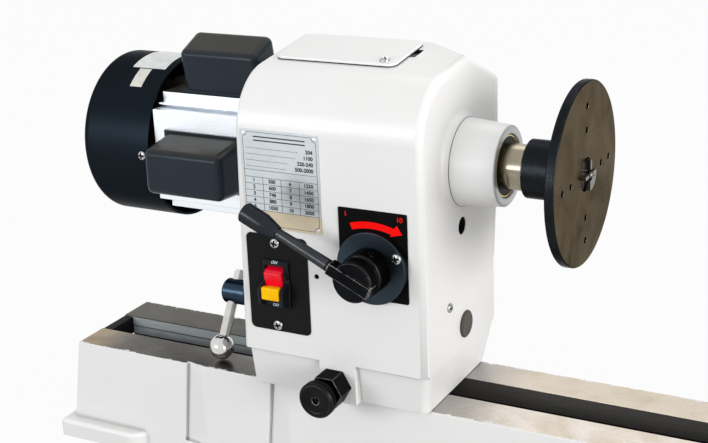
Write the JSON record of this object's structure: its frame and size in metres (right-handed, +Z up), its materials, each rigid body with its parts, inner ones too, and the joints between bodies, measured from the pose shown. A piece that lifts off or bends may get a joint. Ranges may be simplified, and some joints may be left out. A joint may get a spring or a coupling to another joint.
{
  "type": "mini wood lathe",
  "caption": "Bench wood lathe with a cast bed, swivelling variable-speed headstock with side motor and faceplate, tool rest and tailstock.",
  "frame": {"origin": "on the bench under the bed, in the middle of the four bench bolts", "axes": "+X along the bed from the motor end to the tailstock, +Y from the operator to the back, +Z up"},
  "size_m": [1.2034, 0.3237, 0.3871],
  "materials": {
    "white_paint": "satin",
    "black_paint": "satin",
    "black_steel": "blackened",
    "bright_steel": "ground",
    "chrome": "polished",
    "cast_iron": "machined",
    "aluminium": "cast",
    "plate_aluminium": "satin",
    "black_plastic": "matte",
    "red_plastic": "gloss",
    "yellow_plastic": "gloss",
    "brass": "satin",
    "belt_rubber": "matte"
  },
  "bodies": {
    "bed": {"bed_casting": "white_paint"},
    "headstock_slide_base": {"swivel_base": "cast_iron", "headstock_clamp_plate": "cast_iron"},
    "headstock": {"headstock_casting": "white_paint", "pivot_bolt": "bright_steel", "top_cover": "white_paint", "rear_housing": "white_paint", "pan_head_screws": "bright_steel", "rating_plate": "plate_aluminium", "speed_dial_plate": "black_paint", "dial_flange": "black_plastic", "switch_plate": "black_paint", "switch_housing": "black_plastic", "side_plug": "black_plastic", "cable_gland": "black_plastic", "plunger_body": "black_steel", "fork_guide_rod": "bright_steel", "bearing_outer_rings": "bright_steel", "bearing_balls": "chrome", "bearing_seals": "black_plastic", "drive_belt": "belt_rubber", "motor_frame": "aluminium", "motor_end_bells": "aluminium", "fan_cover": "black_paint", "capacitor_boxes": "black_plastic"},
    "spindle_group": {"spindle": "bright_steel", "bearing_inner_rings": "bright_steel", "spacer_ring": "brass", "spindle_fixed_sheave": "aluminium", "faceplate": "black_steel", "drive_spur": "bright_steel", "spindle_nut": "black_steel"},
    "spindle_sheave": {"spindle_moving_sheave": "aluminium"},
    "fork": {"shift_fork": "cast_iron"},
    "rotor": {"motor_rotor": "bright_steel", "cooling_fan": "black_plastic", "motor_fixed_sheave": "aluminium", "sheave_spring": "bright_steel"},
    "motor_sheave": {"motor_moving_sheave": "aluminium"},
    "speed_lever": {"speed_knob": "black_plastic", "speed_lever_rod": "black_steel", "speed_lever_grip": "black_plastic"},
    "rocker": {"switch_rocker": "red_plastic"},
    "key": {"safety_key": "yellow_plastic"},
    "plunger": {"index_pin": "black_steel"},
    "headstock_clamp": {"clamp_cam_shaft": "black_steel", "clamp_lever": "chrome"},
    "rest_slide": {"banjo_guide": "cast_iron"},
    "rest_swivel": {"banjo_bolt": "bright_steel"},
    "rest_arm": {"banjo": "white_paint"},
    "rest_clamp": {"banjo_lever": "chrome"},
    "rest": {"tool_rest": "white_paint"},
    "rest_post_lock": {"rest_lock": "chrome"},
    "tailstock": {"tailstock_casting": "white_paint", "tailstock_clamp": "cast_iron"},
    "tailstock_clamp_lever": {"tailstock_lever": "chrome"},
    "quill": {"tailstock_quill": "bright_steel"},
    "centre_point": {"live_centre": "bright_steel"},
    "wheel": {"handwheel": "chrome"},
    "quill_clamp": {"quill_lock": "chrome"}
  },
  "joints": [
    {"name": "headstock_travel", "type": "slide", "parent": "bed", "child": "headstock_slide_base", "axis": [1, 0, 0], "range_m": [-0.15, 0]},
    {"name": "headstock_swivel", "type": "hinge", "parent": "headstock_slide_base", "child": "headstock", "pos_m": [-0.262, 0, 0.095], "axis": [0, 0, 1], "range_deg": [-180, 0]},
    {"name": "spindle_turn", "type": "hinge", "parent": "headstock", "child": "spindle_group", "pos_m": [-0.262, 0, 0.299], "axis": [1, 0, 0], "continuous": true},
    {"name": "spindle_sheave_shift", "type": "slide", "parent": "spindle_group", "child": "spindle_sheave", "axis": [1, 0, 0], "range_m": [0, 0.014]},
    {"name": "fork_shift", "type": "slide", "parent": "headstock", "child": "fork", "axis": [1, 0, 0], "range_m": [0, 0.014]},
    {"name": "motor_turn", "type": "hinge", "parent": "headstock", "child": "rotor", "pos_m": [-0.262, 0.1, 0.2635], "axis": [1, 0, 0], "continuous": true},
    {"name": "motor_sheave_shift", "type": "slide", "parent": "rotor", "child": "motor_sheave", "axis": [1, 0, 0], "range_m": [0, 0.01]},
    {"name": "speed_lever_turn", "type": "hinge", "parent": "headstock", "child": "speed_lever", "pos_m": [-0.2208, -0.08, 0.2244], "axis": [0, 1, 0], "range_deg": [0, 120], "deforming": ["drive_belt", "sheave_spring"]},
    {"name": "switch_rock", "type": "hinge", "parent": "headstock", "child": "rocker", "pos_m": [-0.3132, -0.0698, 0.1984], "axis": [1, 0, 0], "range_deg": [-16, 0]},
    {"name": "key_pull", "type": "slide", "parent": "rocker", "child": "key", "axis": [0, -1, 0], "range_m": [0, 0.02]},
    {"name": "plunger_push", "type": "slide", "parent": "headstock", "child": "plunger", "axis": [0, 1, 0], "range_m": [0, 0.006]},
    {"name": "headstock_clamp_turn", "type": "hinge", "parent": "headstock", "child": "headstock_clamp", "pos_m": [-0.4, -0.006, 0.152], "axis": [1, 0, 0], "range_deg": [-90, 0]},
    {"name": "rest_travel", "type": "slide", "parent": "bed", "child": "rest_slide", "axis": [1, 0, 0], "range_m": [-0.015, 0.06]},
    {"name": "rest_swing", "type": "hinge", "parent": "rest_slide", "child": "rest_swivel", "pos_m": [0.24, 0, 0.095], "axis": [0, 0, 1], "range_deg": [-15, 15]},
    {"name": "rest_reach", "type": "slide", "parent": "rest_swivel", "child": "rest_arm", "axis": [0, 1, 0], "range_m": [-0.025, 0.025]},
    {"name": "rest_clamp_turn", "type": "hinge", "parent": "rest_swivel", "child": "rest_clamp", "pos_m": [0.24, 0, 0.135], "axis": [0, 0, 1], "range_deg": [-60, 60]},
    {"name": "rest_lift", "type": "slide", "parent": "rest_arm", "child": "rest", "axis": [0, 0, 1], "range_m": [-0.03, 0.02]},
    {"name": "rest_lock_turn", "type": "hinge", "parent": "rest_arm", "child": "rest_post_lock", "pos_m": [0.24, -0.137, 0.137], "axis": [0, 1, 0], "range_deg": [0, 180]},
    {"name": "tailstock_travel", "type": "slide", "parent": "bed", "child": "tailstock", "axis": [1, 0, 0], "range_m": [-0.08, 0]},
    {"name": "tailstock_clamp_turn", "type": "hinge", "parent": "tailstock", "child": "tailstock_clamp_lever", "pos_m": [0.49, -0.062, 0.11], "axis": [0, 1, 0], "range_deg": [-80, 0]},
    {"name": "handwheel_turn", "type": "hinge", "parent": "tailstock", "child": "wheel", "pos_m": [0.49, 0, 0.299], "axis": [1, 0, 0], "range_deg": [0, 5400]},
    {"name": "quill_feed", "type": "slide", "parent": "tailstock", "child": "quill", "axis": [-1, 0, 0], "range_m": [0, 0.06]},
    {"name": "centre_turn", "type": "hinge", "parent": "quill", "child": "centre_point", "pos_m": [0.37, 0, 0.299], "axis": [1, 0, 0], "continuous": true},
    {"name": "quill_lock_turn", "type": "hinge", "parent": "tailstock", "child": "quill_clamp", "pos_m": [0.456, 0, 0.334], "axis": [0, 0, 1], "range_deg": [-40, 40]}
  ],
  "couplings": [
    {"joint": "spindle_sheave_shift", "follows": "speed_lever_turn", "m_per_rad": 0.0066845},
    {"joint": "fork_shift", "follows": "speed_lever_turn", "m_per_rad": 0.0066845},
    {"joint": "motor_sheave_shift", "follows": "speed_lever_turn", "m_per_rad": 0.0047746},
    {"joint": "motor_turn", "follows": "spindle_turn", "ratio": 2.8},
    {"joint": "quill_feed", "follows": "handwheel_turn", "m_per_rad": 0.00063661}
  ]
}
